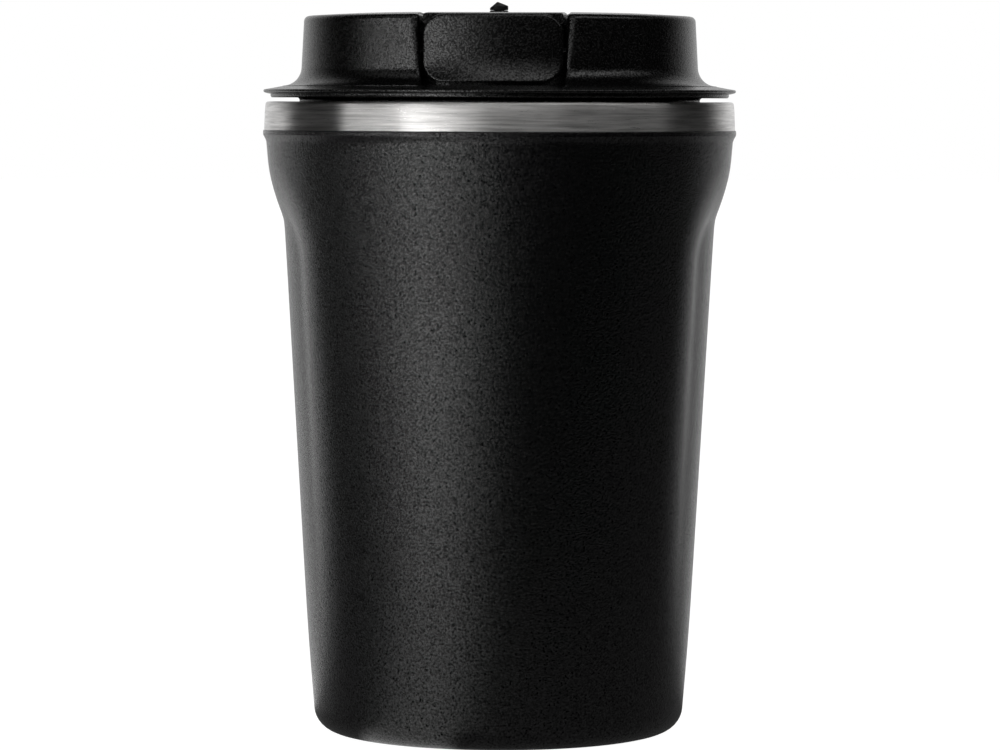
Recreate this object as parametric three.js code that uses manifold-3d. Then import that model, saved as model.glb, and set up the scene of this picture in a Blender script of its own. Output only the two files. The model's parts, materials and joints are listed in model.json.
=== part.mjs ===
// Insulated steel tumbler with a screw lid and a flip cap.
// Millimetres, +Z up, the flip cap's panel faces -Y, the origin is the middle of the foot's plane.

import * as THREE from 'three';
import { mergeVertices } from 'three/addons/utils/BufferGeometryUtils.js';
import Module from 'manifold-3d';

const wasm = await Module();
wasm.setup();

// ---------------------------------------------------------------- driving dimensions

const GAP = 0.3; // kept between pieces that touch
const ROUND_STEPS = 48; // facets round the large pieces
const SMALL_STEPS = 16; // facets round pins, bosses and plugs

// Cup: outer wall
const WALL_THICKNESS = 0.9;
const CONE_RADIUS = 34.29; // of the outer cone, carried down to the foot's plane
const CONE_SLOPE = 0.0843; // radius gained per millimetre of height
const FOOT_FILLET = 4.5;
const FOOT_RING_INNER = 26; // where the wall is rolled back up inside the foot
const FOOT_CURL_HEIGHT = 3.2;
const COAT_EDGE_RADIUS = 44.2; // the coat ends in a small flared edge
const COAT_EDGE_HEIGHT = 111.9;
const COAT_FLARE_START = 110.3;
const WALL_TOP_INNER = 42.75;

// Cup: grip recesses on the left and right sides
const RECESS_FLOOR_RADIUS = 34.8; // of the recess floor's cone, carried down to the foot's plane
const RECESS_FLOOR_SLOPE = 0.0568;
const RECESS_HALF_WIDTH = 17; // developed on the wall
const RECESS_TOP = 96;
const RECESS_CORNER = 8;
const RECESS_ROLL = 11.3; // width of the rolled wall round the floor
const RECESS_DEVELOP_RADIUS = 41; // radius on which widths are developed

// Cup: liner
const LINER_THICKNESS = 0.7;
const BORE_RADIUS = 31.6; // carried down to the foot's plane
const BORE_SLOPE = 0.0531;
const LINER_FLOOR = 9;
const LINER_FLOOR_FILLET = 6;
const LINER_SEAM = 16; // height of the weld between liner and liner base
const SEAT_HEIGHT = 104; // the lid's gasket presses here
const NECK_RADIUS = 39.3;
const RIM_TOP = 117.8;
const BAND_BOTTOM = 112.2;
const BAND_BOTTOM_RADIUS = 43.98;
const BAND_TOP_RADIUS = 43.55;
const BAND_SKIRT_RADIUS = 42.3; // the liner's turned-down end, lapped inside the outer wall
const BAND_SKIRT_END = 109;

// Cup: base
const BASE_COVER_HEIGHT = 1.2;
const BASE_PLATE_THICKNESS = 0.8;
const DIMPLE_RADIUS = 5;
const DIMPLE_RISE = 1.5;
const COVER_DISH = 0.6; // the cover's middle is pressed up by this much
const COVER_DISH_RADIUS = 18.7;
const COVER_DISH_SLOPE = 1.2;
const BEAD_RADIUS = 2.6;
const GETTER_RADIUS = 4.5;
const GETTER_HEIGHT = 2;
const GETTER_PLACE = 15;

// Screw thread, three starts, right-handed
const THREAD_STARTS = 3;
const THREAD_LEAD = 18;
const THREAD_SPAN = THREE.MathUtils.degToRad(100);
const THREAD_BASE_HALF = 0.8;
const THREAD_CREST_HALF = 0.45;
const THREAD_ROOT_LAP = 0.35; // how deep a ridge is rooted in its wall
const NECK_THREAD_CREST = 38.35;
const NECK_THREAD_HEIGHT = 109.9; // middle of the ridge where it starts
const LID_THREAD_CREST = 38.85;
const LID_THREAD_DELAY = THREE.MathUtils.degToRad(28);

// Lid
const LID_CLOCKING = THREE.MathUtils.degToRad(-2.05); // about +Z, from the cup's front
const LID_TOP = 133.7;
const BARREL_TOP_RADIUS = 36.5;
const BARREL_FOOT_RADIUS = 37.2;
const BARREL_FLARE = 3.5; // fillet between barrel and brim
const BRIM_TOP = 120.75;
const BRIM_RADIUS = 44.22;
const BRIM_UNDERSIDE = 119.25;
const BARREL_INNER_RADIUS = 34.6;
const DECK_THICKNESS = 1.8;
const CHANNEL_HALF = 13.7; // at the foot of its slightly open walls
const CHANNEL_TOP_HALF = 14.3;
const CHANNEL_EDGE_ROUND = 1.2;
const CHANNEL_FLOOR = 127;
const CHANNEL_END = 23.3;
const CHANNEL_WALL_HALF = 16.5; // outside of the walls that carry the hinge pin
const NOTCH_FLOOR = 120.6;
const NOTCH_RADIUS = 33.3; // of the wall behind the panel
const NOTCH_WALL_INNER = 31.5;

// Lid insert and gasket
const FLANGE_RADIUS = 42.83;
const FLANGE_BOTTOM = 118.4;
const PLUG_RADIUS = 37.4;
const PLUG_WALL_INNER = 33.4;
const PLUG_BOTTOM = 102.5;
const GROOVE_RADIUS = 35.4;
const GROOVE_TOP = 107.3;
const GASKET_RADIUS = 38.05;

// Mouth and vent
const MOUTH_PLACE = -25; // along Y
const MOUTH_HALF_LENGTH = 7.8;
const MOUTH_HALF_WIDTH = 3.3;
const MOUTH_DRAFT = 1; // how far the hole in the deck opens out towards its top
const DUCT_WALL = 1.5;
const VENT_PLACE = -4;
const VENT_RADIUS = 1.6;
const VENT_MOUTH_RADIUS = 2.9;

// Flip cap
const CAP_HALF_WIDTH = 12.65;
const CAP_PLATE = 1.8;
const PANEL_BOTTOM = 121.5;
const PANEL_TOP = 133.6;
const PANEL_CORNER = 3.8;
const PANEL_INNER_RADIUS = 34.9;
const HINGE_PLACE = 12; // along Y
const HINGE_HEIGHT = 131;
const KNUCKLE_RADIUS = LID_TOP - HINGE_HEIGHT;
const PIN_RADIUS = 1.2;
const PIN_HALF_LENGTH = 15.3;
const ARM_EDGE_ROUND = 1.5;
const RIB_HEIGHT = 2.4; // two stiffening ribs under the arm
const RIB_THICKNESS = 1.5;
const RIB_INSET = 0.9;
const RIB_FRONT = -32.5;
const RIB_BACK = 8;
const MOUTH_BOSS_HALF_LENGTH = 6;
const MOUTH_BOSS_HALF_WIDTH = 2;
const MOUTH_BOSS_END = 129;
const VENT_BOSS_RADIUS = 3.2;
const VENT_BOSS_END = 129.8;
const COLLAR_TOP = 134.75;

// Silicone plugs under the flip cap
const MOUTH_PAD_HALF_LENGTH = 10;
const MOUTH_PAD_HALF_WIDTH = 5.2;
const MOUTH_PAD_TOP = 130.2;
const STOPPER_DEPTH = 2.2;
const STOPPER_CLEARANCE = 0.6;
const STOPPER_DRAFT = 0.9;
const VENT_PLUG_DEPTH = 1.7;
const STEM_RADIUS = 1;
const BARB_RADIUS = 1.6;
const TAIL_TOP = 136.4;

// ---------------------------------------------------------------- materials

function metal(color, roughness) {
  return new THREE.MeshStandardMaterial({ color, roughness, metalness: 1 });
}

function moulded(color, roughness) {
  return new THREE.MeshStandardMaterial({ color, roughness, metalness: 0 });
}

const POWDER_COAT = moulded(0x17171a, 0.5);
const BRUSHED_STEEL = metal(0xc4c3c0, 0.32);
const PLATE_STEEL = metal(0xb5b5b3, 0.4);
const GLASS_SOLDER = moulded(0x4a4f55, 0.2);
const GETTER_ALLOY = metal(0x7d7f84, 0.6);
const LID_PLASTIC = moulded(0x161617, 0.42);
const SILICONE = moulded(0x1f1f21, 0.6);

// ---------------------------------------------------------------- outlines

// Closed outline through corners [x, y, fillet radius]; a fillet is an arc of a few chords.
function outline(corners, chords = 3) {
  const points = [];
  corners.forEach(([x, y, fillet = 0], index) => {
    const corner = new THREE.Vector2(x, y);
    if (fillet === 0) {
      points.push(corner);
      return;
    }
    const last = corners[(index + corners.length - 1) % corners.length];
    const next = corners[(index + 1) % corners.length];
    const back = new THREE.Vector2(last[0] - x, last[1] - y).normalize();
    const ahead = new THREE.Vector2(next[0] - x, next[1] - y).normalize();
    const half = Math.acos(back.dot(ahead)) / 2;
    const inward = back.clone().add(ahead).normalize();
    const centre = inward.clone().multiplyScalar(fillet / Math.sin(half)).add(corner);
    const turn = Math.sign(ahead.cross(back)) * (Math.PI - 2 * half);
    const start = back.clone().multiplyScalar(fillet / Math.tan(half)).add(corner);
    for (let step = 0; step <= chords; step++) {
      points.push(start.clone().rotateAround(centre, (turn * step) / chords));
    }
  });
  return points;
}

// Straight-sided slot outline with round ends, lying along X.
function slotOutline(halfLength, halfWidth) {
  const corners = [
    [-halfLength, -halfWidth, halfWidth],
    [halfLength, -halfWidth, halfWidth],
    [halfLength, halfWidth, halfWidth],
    [-halfLength, halfWidth, halfWidth],
  ];
  return outline(corners, 4);
}

// ---------------------------------------------------------------- solids

// Turns a closed three.js geometry into a solid that can be joined and cut.
function solid(geometry) {
  const bare = geometry.clone();
  bare.deleteAttribute('normal');
  bare.deleteAttribute('uv');
  const merged = mergeVertices(bare, 1e-4);
  const index = merged.index.array;
  const position = merged.attributes.position;
  const triangles = [];
  let volume = 0;
  const corner = [new THREE.Vector3(), new THREE.Vector3(), new THREE.Vector3()];
  for (let i = 0; i < index.length; i += 3) {
    const [a, b, c] = [index[i], index[i + 1], index[i + 2]];
    if (a === b || b === c || c === a) continue;
    triangles.push(a, b, c);
    [a, b, c].forEach((vertex, k) => corner[k].fromBufferAttribute(position, vertex));
    volume += corner[0].dot(corner[1].clone().cross(corner[2]));
  }
  if (volume < 0) triangles.reverse();
  const mesh = new wasm.Mesh({
    numProp: 3,
    vertProperties: new Float32Array(position.array),
    triVerts: new Uint32Array(triangles),
  });
  return new wasm.Manifold(mesh);
}

// The geometry of a finished solid.
function geometryOf(body) {
  const mesh = body.getMesh();
  const geometry = new THREE.BufferGeometry();
  geometry.setAttribute('position', new THREE.BufferAttribute(mesh.vertProperties, 3));
  geometry.setIndex(new THREE.BufferAttribute(mesh.triVerts, 1));
  geometry.computeVertexNormals();
  return geometry;
}

// Body turned about the Z axis from an outline of [radius, height] points.
function turnedGeometry(points, steps) {
  const closed = [...points, points[0]];
  return new THREE.LatheGeometry(closed, steps).rotateX(Math.PI / 2);
}

function turned(corners, steps = ROUND_STEPS, chords = 3) {
  return solid(turnedGeometry(outline(corners, chords), steps));
}

// Turned body standing on the point (0, y).
function turnedAt(corners, y) {
  const points = outline(corners);
  return solid(turnedGeometry(points, SMALL_STEPS).translate(0, y, 0));
}

function block(x0, x1, y0, y1, z0, z1) {
  const box = new THREE.BoxGeometry(x1 - x0, y1 - y0, z1 - z0);
  return solid(box.translate((x0 + x1) / 2, (y0 + y1) / 2, (z0 + z1) / 2));
}

// Outline in X and Z, drawn out along Y.
function bar(points, y0, y1) {
  const shape = new THREE.Shape(points);
  const drawn = new THREE.ExtrudeGeometry(shape, { depth: y1 - y0, bevelEnabled: false });
  return solid(drawn.rotateX(Math.PI / 2).translate(0, y1, 0));
}

// Slot-shaped prism at (0, y); its outline narrows by `draft` from top to bottom.
function slotPrism(halfLength, halfWidth, y, z0, z1, draft = 0) {
  const shape = new THREE.Shape(slotOutline(halfLength, halfWidth));
  const prism = new THREE.ExtrudeGeometry(shape, { depth: z1 - z0, bevelEnabled: false });
  const position = prism.attributes.position;
  const core = halfLength - halfWidth;
  for (let i = 0; i < position.count; i++) {
    const x = position.getX(i);
    const low = position.getZ(i) < (z1 - z0) / 2;
    const keep = low ? (halfWidth - draft) / halfWidth : 1;
    const middle = THREE.MathUtils.clamp(x, -core, core);
    position.setX(i, middle + (x - middle) * keep);
    position.setY(i, position.getY(i) * keep);
  }
  return solid(prism.translate(0, y, z0));
}

// Rod along X through the point (y, z).
function rod(radius, halfLength, y, z) {
  const cylinder = new THREE.CylinderGeometry(radius, radius, 2 * halfLength, SMALL_STEPS);
  return solid(cylinder.rotateZ(Math.PI / 2).translate(0, y, z));
}

// One thread ridge: a straight bar bent round the axis along a helix.
function threadRidge(rootRadius, crestRadius, startHeight, startAngle) {
  const section = new THREE.Shape([
    new THREE.Vector2(rootRadius, -THREAD_BASE_HALF),
    new THREE.Vector2(crestRadius, -THREAD_CREST_HALF),
    new THREE.Vector2(crestRadius, THREAD_CREST_HALF),
    new THREE.Vector2(rootRadius, THREAD_BASE_HALF),
  ]);
  const settings = { depth: THREAD_SPAN, steps: 14, bevelEnabled: false };
  const ridge = new THREE.ExtrudeGeometry(section, settings);
  const position = ridge.attributes.position;
  for (let i = 0; i < position.count; i++) {
    const radius = position.getX(i);
    const along = position.getZ(i);
    const angle = startAngle + along;
    const height = startHeight + position.getY(i) + (THREAD_LEAD * along) / (2 * Math.PI);
    position.setXYZ(i, radius * Math.cos(angle), radius * Math.sin(angle), height);
  }
  return solid(ridge);
}

function withThread(body, rootRadius, crestRadius, startHeight, delay) {
  let threaded = body;
  for (let start = 0; start < THREAD_STARTS; start++) {
    const angle = (2 * Math.PI * start) / THREAD_STARTS + delay;
    threaded = threaded.add(threadRidge(rootRadius, crestRadius, startHeight, angle));
  }
  return threaded;
}

// ---------------------------------------------------------------- cup

function coneRadius(z) {
  return CONE_RADIUS + CONE_SLOPE * z;
}

function boreRadius(z) {
  return BORE_RADIUS + BORE_SLOPE * z;
}

// How far the wall is pressed in at a place: full on the recess floor, rolling out to nothing.
function recessDepth(x, y, z) {
  const full = coneRadius(z) - RECESS_FLOOR_RADIUS - RECESS_FLOOR_SLOPE * z;
  const across = Math.atan2(Math.abs(y), Math.abs(x)) * RECESS_DEVELOP_RADIUS;
  const beside = across - (RECESS_HALF_WIDTH - RECESS_CORNER);
  const above = z - (RECESS_TOP - RECESS_CORNER);
  const corner = Math.hypot(Math.max(beside, 0), Math.max(above, 0));
  const outside = corner + Math.min(Math.max(beside, above), 0) - RECESS_CORNER;
  const share = THREE.MathUtils.clamp(1 - Math.max(outside, 0) / RECESS_ROLL, 0, 1);
  return Math.max(full, 0) * share * share;
}

function pressRecesses(geometry) {
  const position = geometry.attributes.position;
  for (let i = 0; i < position.count; i++) {
    const [x, y, z] = [position.getX(i), position.getY(i), position.getZ(i)];
    const radius = Math.hypot(x, y);
    const keep = (radius - recessDepth(x, y, z)) / radius;
    position.setX(i, x * keep);
    position.setY(i, y * keep);
  }
  return geometry;
}

function outerWall() {
  const outerHeights = [18, 50, 78, 88, 92.5, 96, 98, 100.5, 103.5, 107.3];
  const innerHeights = [106, 101, 97, 92, 82, 50, 18];
  const inner = (z) => coneRadius(z) - WALL_THICKNESS;
  const footInner = FOOT_RING_INNER + WALL_THICKNESS;
  const corners = [
    [FOOT_RING_INNER, FOOT_CURL_HEIGHT],
    [FOOT_RING_INNER, 0, 1.4],
    [CONE_RADIUS, 0, FOOT_FILLET],
    ...outerHeights.map((z) => [coneRadius(z), z]),
    [coneRadius(COAT_FLARE_START), COAT_FLARE_START],
    [COAT_EDGE_RADIUS, COAT_EDGE_HEIGHT - 0.5],
    [COAT_EDGE_RADIUS, COAT_EDGE_HEIGHT],
    [WALL_TOP_INNER, COAT_EDGE_HEIGHT],
    ...innerHeights.map((z) => [inner(z), z]),
    [inner(WALL_THICKNESS), WALL_THICKNESS, FOOT_FILLET - WALL_THICKNESS],
    [footInner, WALL_THICKNESS, 0.5],
    [footInner, FOOT_CURL_HEIGHT],
  ];
  return solid(pressRecesses(turnedGeometry(outline(corners), ROUND_STEPS)));
}

function innerLiner() {
  const seamTop = LINER_SEAM + GAP;
  const neckOuter = NECK_RADIUS + LINER_THICKNESS;
  const seatUnderside = SEAT_HEIGHT - LINER_THICKNESS;
  const rimUnderside = RIM_TOP - 0.8;
  const skirtInner = BAND_SKIRT_RADIUS - LINER_THICKNESS;
  const shell = turned([
    [boreRadius(seamTop), seamTop],
    [boreRadius(SEAT_HEIGHT), SEAT_HEIGHT, 0.5],
    [NECK_RADIUS, SEAT_HEIGHT, 0.5],
    [NECK_RADIUS, RIM_TOP, 1.2],
    [BAND_TOP_RADIUS, RIM_TOP, 0.9],
    [BAND_BOTTOM_RADIUS, BAND_BOTTOM],
    [BAND_SKIRT_RADIUS, BAND_BOTTOM],
    [BAND_SKIRT_RADIUS, BAND_SKIRT_END],
    [skirtInner, BAND_SKIRT_END],
    [skirtInner, BAND_BOTTOM + 0.8],
    [BAND_BOTTOM_RADIUS - 0.8, BAND_BOTTOM + 0.8],
    [BAND_TOP_RADIUS - 0.7, rimUnderside],
    [neckOuter, rimUnderside],
    [neckOuter, seatUnderside],
    [boreRadius(seatUnderside) + LINER_THICKNESS, seatUnderside],
    [boreRadius(seamTop) + LINER_THICKNESS, seamTop],
  ], ROUND_STEPS, 2);
  const root = NECK_RADIUS + THREAD_ROOT_LAP;
  return withThread(shell, root, NECK_THREAD_CREST, NECK_THREAD_HEIGHT, 0);
}

function linerBase() {
  const outerFloor = LINER_FLOOR - LINER_THICKNESS;
  return turned([
    [0, outerFloor],
    [boreRadius(outerFloor) + LINER_THICKNESS, outerFloor, LINER_FLOOR_FILLET + LINER_THICKNESS],
    [boreRadius(LINER_SEAM) + LINER_THICKNESS, LINER_SEAM],
    [boreRadius(LINER_SEAM), LINER_SEAM],
    [boreRadius(LINER_FLOOR), LINER_FLOOR, LINER_FLOOR_FILLET],
    [0, LINER_FLOOR],
  ]);
}

function vacuumBase() {
  const bottom = FOOT_CURL_HEIGHT + GAP;
  const top = bottom + BASE_PLATE_THICKNESS;
  const rim = FOOT_RING_INNER + WALL_THICKNESS;
  return turned([
    [0, bottom + DIMPLE_RISE],
    [DIMPLE_RADIUS, bottom + DIMPLE_RISE],
    [DIMPLE_RADIUS + DIMPLE_RISE, bottom],
    [rim, bottom],
    [rim, top],
    [DIMPLE_RADIUS + DIMPLE_RISE, top],
    [DIMPLE_RADIUS, top + DIMPLE_RISE],
    [0, top + DIMPLE_RISE],
  ], 40);
}

function baseCover() {
  const rim = FOOT_RING_INNER - GAP;
  const bottom = BASE_COVER_HEIGHT;
  const top = bottom + BASE_PLATE_THICKNESS;
  const dishFoot = COVER_DISH_RADIUS + COVER_DISH_SLOPE;
  return turned([
    [0, bottom + COVER_DISH],
    [COVER_DISH_RADIUS, bottom + COVER_DISH],
    [dishFoot, bottom],
    [rim, bottom],
    [rim, top],
    [dishFoot, top],
    [COVER_DISH_RADIUS, top + COVER_DISH],
    [0, top + COVER_DISH],
  ], 40);
}

function sealBead() {
  const top = FOOT_CURL_HEIGHT + DIMPLE_RISE;
  const bottom = top - 1;
  return turned([
    [0, bottom],
    [BEAD_RADIUS - 0.4, bottom, 0.5],
    [BEAD_RADIUS, top],
    [0, top],
  ], SMALL_STEPS);
}

function getter() {
  const bottom = FOOT_CURL_HEIGHT + GAP + BASE_PLATE_THICKNESS + GAP;
  const top = bottom + GETTER_HEIGHT;
  return turnedAt([
    [0, bottom],
    [GETTER_RADIUS, bottom],
    [GETTER_RADIUS, top, 0.6],
    [0, top],
  ], GETTER_PLACE);
}

// ---------------------------------------------------------------- lid

function lidGasket() {
  const inner = GROOVE_RADIUS + GAP;
  const bottom = SEAT_HEIGHT + GAP;
  const top = GROOVE_TOP - GAP;
  return turned([
    [inner, bottom],
    [GASKET_RADIUS, bottom, 0.5],
    [GASKET_RADIUS, top, 0.5],
    [inner, top],
  ], ROUND_STEPS, 2);
}

function lidInsert() {
  const flangeTop = BRIM_UNDERSIDE - GAP;
  const lip = PLUG_RADIUS - 0.8;
  const floor = PLUG_BOTTOM + 2;
  const cup = turned([
    [0, PLUG_BOTTOM],
    [lip, PLUG_BOTTOM, 0.5],
    [lip, SEAT_HEIGHT],
    [GROOVE_RADIUS, SEAT_HEIGHT],
    [GROOVE_RADIUS, GROOVE_TOP],
    [PLUG_RADIUS, GROOVE_TOP],
    [PLUG_RADIUS, FLANGE_BOTTOM],
    [FLANGE_RADIUS, FLANGE_BOTTOM],
    [FLANGE_RADIUS, flangeTop],
    [PLUG_WALL_INNER, flangeTop],
    [PLUG_WALL_INNER, floor],
    [0, floor],
  ], ROUND_STEPS, 2);
  const startHeight = NECK_THREAD_HEIGHT
    - THREAD_LEAD / THREAD_STARTS / 2
    + (THREAD_LEAD * LID_THREAD_DELAY) / (2 * Math.PI);
  const root = PLUG_RADIUS - THREAD_ROOT_LAP;
  const threaded = withThread(cup, root, LID_THREAD_CREST, startHeight, LID_THREAD_DELAY);

  const ductTop = CHANNEL_FLOOR - DECK_THICKNESS - GAP;
  const ventWall = VENT_RADIUS + DUCT_WALL;
  const outerLength = MOUTH_HALF_LENGTH + DUCT_WALL;
  const outerWidth = MOUTH_HALF_WIDTH + DUCT_WALL;
  const ducts = slotPrism(outerLength, outerWidth, MOUTH_PLACE, PLUG_BOTTOM + 1, ductTop)
    .add(turnedAt([
      [0, PLUG_BOTTOM + 1],
      [ventWall, PLUG_BOTTOM + 1],
      [ventWall, ductTop],
      [0, ductTop],
    ], VENT_PLACE));
  const [below, above] = [PLUG_BOTTOM - 1, ductTop + 1];
  const passages = slotPrism(MOUTH_HALF_LENGTH, MOUTH_HALF_WIDTH, MOUTH_PLACE, below, above)
    .add(turnedAt([[0, below], [VENT_RADIUS, below], [VENT_RADIUS, above], [0, above]], VENT_PLACE));
  return threaded.add(ducts).subtract(passages);
}

// Section of the channel, open upwards, with rounded top edges.
function channelSection(floor) {
  const rise = LID_TOP + 0.01;
  return outline([
    [-CHANNEL_HALF, floor, 1],
    [CHANNEL_HALF, floor, 1],
    [CHANNEL_TOP_HALF, rise, CHANNEL_EDGE_ROUND],
    [CHANNEL_TOP_HALF + 2, rise],
    [CHANNEL_TOP_HALF + 2, rise + 3],
    [-CHANNEL_TOP_HALF - 2, rise + 3],
    [-CHANNEL_TOP_HALF - 2, rise],
    [-CHANNEL_TOP_HALF, rise, CHANNEL_EDGE_ROUND],
  ]);
}

function lidShell() {
  const drum = turned([
    [0, BRIM_UNDERSIDE],
    [BRIM_RADIUS - 0.25, BRIM_UNDERSIDE, 0.2],
    [BRIM_RADIUS, BRIM_UNDERSIDE + 0.7, 0.3],
    [BRIM_RADIUS - 1, BRIM_TOP - 0.2, 0.6],
    [BARREL_FOOT_RADIUS, BRIM_TOP, BARREL_FLARE],
    [BARREL_TOP_RADIUS, LID_TOP, 1],
    [0, LID_TOP],
  ]);
  const below = BRIM_UNDERSIDE - 2;
  const ceiling = LID_TOP - DECK_THICKNESS;
  const [left, right] = [-CHANNEL_WALL_HALF, CHANNEL_WALL_HALF];
  const hollow = turned([
    [0, below],
    [BARREL_INNER_RADIUS, below],
    [BARREL_INNER_RADIUS, ceiling, 1.5],
    [0, ceiling],
  ]);
  const channelUnderside = CHANNEL_FLOOR - DECK_THICKNESS;
  const channelBox = block(left, right, -50, CHANNEL_END + 2, channelUnderside, LID_TOP);
  const behindPanel = turned([
    [0, below],
    [NOTCH_WALL_INNER, below],
    [NOTCH_WALL_INNER, LID_TOP],
    [0, LID_TOP],
  ]);
  const notchWall = block(left, right, -50, 0, below, LID_TOP).subtract(behindPanel);
  const cavity = hollow.subtract(channelBox).subtract(notchWall);

  const channel = bar(channelSection(CHANNEL_FLOOR), -50, CHANNEL_END);
  const inFront = turned([
    [NOTCH_RADIUS, NOTCH_FLOOR - 5],
    [60, NOTCH_FLOOR - 5],
    [60, LID_TOP + 5],
    [NOTCH_RADIUS, LID_TOP + 5],
  ]);
  const notch = bar(channelSection(NOTCH_FLOOR), -50, 0).intersect(inFront);
  const mouth = slotPrism(
    MOUTH_HALF_LENGTH + MOUTH_DRAFT,
    MOUTH_HALF_WIDTH + MOUTH_DRAFT,
    MOUTH_PLACE,
    channelUnderside - 0.01,
    CHANNEL_FLOOR + 0.01,
    MOUTH_DRAFT,
  );
  const vent = turnedAt([
    [0, channelUnderside - 0.01],
    [VENT_RADIUS, channelUnderside - 0.01],
    [VENT_MOUTH_RADIUS, CHANNEL_FLOOR + 0.01],
    [0, CHANNEL_FLOOR + 0.01],
  ], VENT_PLACE);
  const sockets = rod(PIN_RADIUS + GAP, PIN_HALF_LENGTH + GAP, HINGE_PLACE, HINGE_HEIGHT);
  return drum
    .subtract(cavity)
    .subtract(channel)
    .subtract(notch)
    .subtract(mouth)
    .subtract(vent)
    .subtract(sockets);
}

// ---------------------------------------------------------------- flip cap

// Front panel: a rounded rectangle cut from a ring that flares a little towards its foot.
function capPanel() {
  const face = outline([
    [-CAP_HALF_WIDTH, PANEL_BOTTOM, PANEL_CORNER],
    [CAP_HALF_WIDTH, PANEL_BOTTOM, PANEL_CORNER],
    [CAP_HALF_WIDTH, PANEL_TOP, PANEL_CORNER],
    [-CAP_HALF_WIDTH, PANEL_TOP, PANEL_CORNER],
  ], 4);
  const ring = turned([
    [PANEL_INNER_RADIUS, PANEL_BOTTOM - 1],
    [BARREL_FOOT_RADIUS + 0.2, PANEL_BOTTOM - 1],
    [BARREL_TOP_RADIUS + 0.25, PANEL_BOTTOM + 4.5],
    [BARREL_TOP_RADIUS, PANEL_TOP + 1],
    [PANEL_INNER_RADIUS, PANEL_TOP + 1],
  ], 2 * ROUND_STEPS);
  return bar(face, -50, -20).intersect(ring);
}

function capArm() {
  const underside = LID_TOP - CAP_PLATE;
  const section = outline([
    [-CAP_HALF_WIDTH, underside],
    [CAP_HALF_WIDTH, underside],
    [CAP_HALF_WIDTH, LID_TOP, ARM_EDGE_ROUND],
    [-CAP_HALF_WIDTH, LID_TOP, ARM_EDGE_ROUND],
  ]);
  const reach = turned([
    [0, underside - 1],
    [PANEL_INNER_RADIUS + 0.9, underside - 1],
    [PANEL_INNER_RADIUS + 0.9, LID_TOP + 1],
    [0, LID_TOP + 1],
  ]);
  const plate = bar(section, -40, HINGE_PLACE).intersect(reach);
  const far = CAP_HALF_WIDTH - RIB_INSET;
  const near = far - RIB_THICKNESS;
  const ribBottom = underside - RIB_HEIGHT;
  const leftRib = block(-far, -near, RIB_FRONT, RIB_BACK, ribBottom, underside + 1);
  const rightRib = block(near, far, RIB_FRONT, RIB_BACK, ribBottom, underside + 1);
  return plate.add(leftRib).add(rightRib);
}

function flipCap() {
  const knuckle = rod(KNUCKLE_RADIUS, CAP_HALF_WIDTH, HINGE_PLACE, HINGE_HEIGHT);
  const pinBore = rod(PIN_RADIUS + GAP, CAP_HALF_WIDTH + 1, HINGE_PLACE, HINGE_HEIGHT);
  const plateMiddle = LID_TOP - CAP_PLATE / 2;
  const mouthBoss = slotPrism(
    MOUTH_BOSS_HALF_LENGTH,
    MOUTH_BOSS_HALF_WIDTH,
    MOUTH_PLACE,
    MOUTH_BOSS_END,
    plateMiddle,
  );
  const ventBoss = turnedAt([
    [0, VENT_BOSS_END],
    [VENT_BOSS_RADIUS, VENT_BOSS_END],
    [VENT_BOSS_RADIUS, plateMiddle],
    [0, plateMiddle],
  ], VENT_PLACE);
  const collar = turnedAt([
    [0, plateMiddle],
    [3.2, plateMiddle],
    [2.9, LID_TOP],
    [2, LID_TOP + 0.45],
    [1.75, COLLAR_TOP],
    [0, COLLAR_TOP],
  ], VENT_PLACE);
  const [holeBottom, holeTop] = [VENT_BOSS_END - 1, COLLAR_TOP + 1];
  const stemHole = turnedAt([
    [0, holeBottom],
    [STEM_RADIUS + GAP, holeBottom],
    [STEM_RADIUS + GAP, holeTop],
    [0, holeTop],
  ], VENT_PLACE);
  return capPanel()
    .add(capArm())
    .add(knuckle)
    .add(mouthBoss)
    .add(ventBoss)
    .add(collar)
    .subtract(stemHole)
    .subtract(pinBore);
}

function mouthPlug() {
  const padBottom = CHANNEL_FLOOR + GAP;
  const pad = slotPrism(
    MOUTH_PAD_HALF_LENGTH,
    MOUTH_PAD_HALF_WIDTH,
    MOUTH_PLACE,
    padBottom,
    MOUTH_PAD_TOP,
  );
  const stopper = slotPrism(
    MOUTH_HALF_LENGTH + MOUTH_DRAFT - STOPPER_CLEARANCE,
    MOUTH_HALF_WIDTH + MOUTH_DRAFT - STOPPER_CLEARANCE,
    MOUTH_PLACE,
    padBottom - STOPPER_DEPTH,
    padBottom + 0.5,
    STOPPER_DRAFT,
  );
  const pocket = slotPrism(
    MOUTH_BOSS_HALF_LENGTH + GAP,
    MOUTH_BOSS_HALF_WIDTH + GAP,
    MOUTH_PLACE,
    MOUTH_BOSS_END - GAP,
    MOUTH_PAD_TOP + 1,
  );
  return pad.add(stopper).subtract(pocket);
}

function ventPlug() {
  const padBottom = CHANNEL_FLOOR + GAP;
  const padTop = VENT_BOSS_END - GAP;
  const tip = padBottom - VENT_PLUG_DEPTH;
  const barb = COLLAR_TOP + GAP;
  return turnedAt([
    [0, tip],
    [1.2, tip],
    [2.4, padBottom],
    [VENT_BOSS_RADIUS, padBottom],
    [VENT_BOSS_RADIUS, padTop],
    [STEM_RADIUS, padTop],
    [STEM_RADIUS, barb],
    [BARB_RADIUS, barb],
    [BARB_RADIUS - 0.15, barb + 0.8],
    [0.9, TAIL_TOP],
    [0, TAIL_TOP],
  ], VENT_PLACE);
}

// ---------------------------------------------------------------- assembly

function piece(name, body, material) {
  const mesh = new THREE.Mesh(geometryOf(body), material);
  mesh.name = name;
  return mesh;
}

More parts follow.
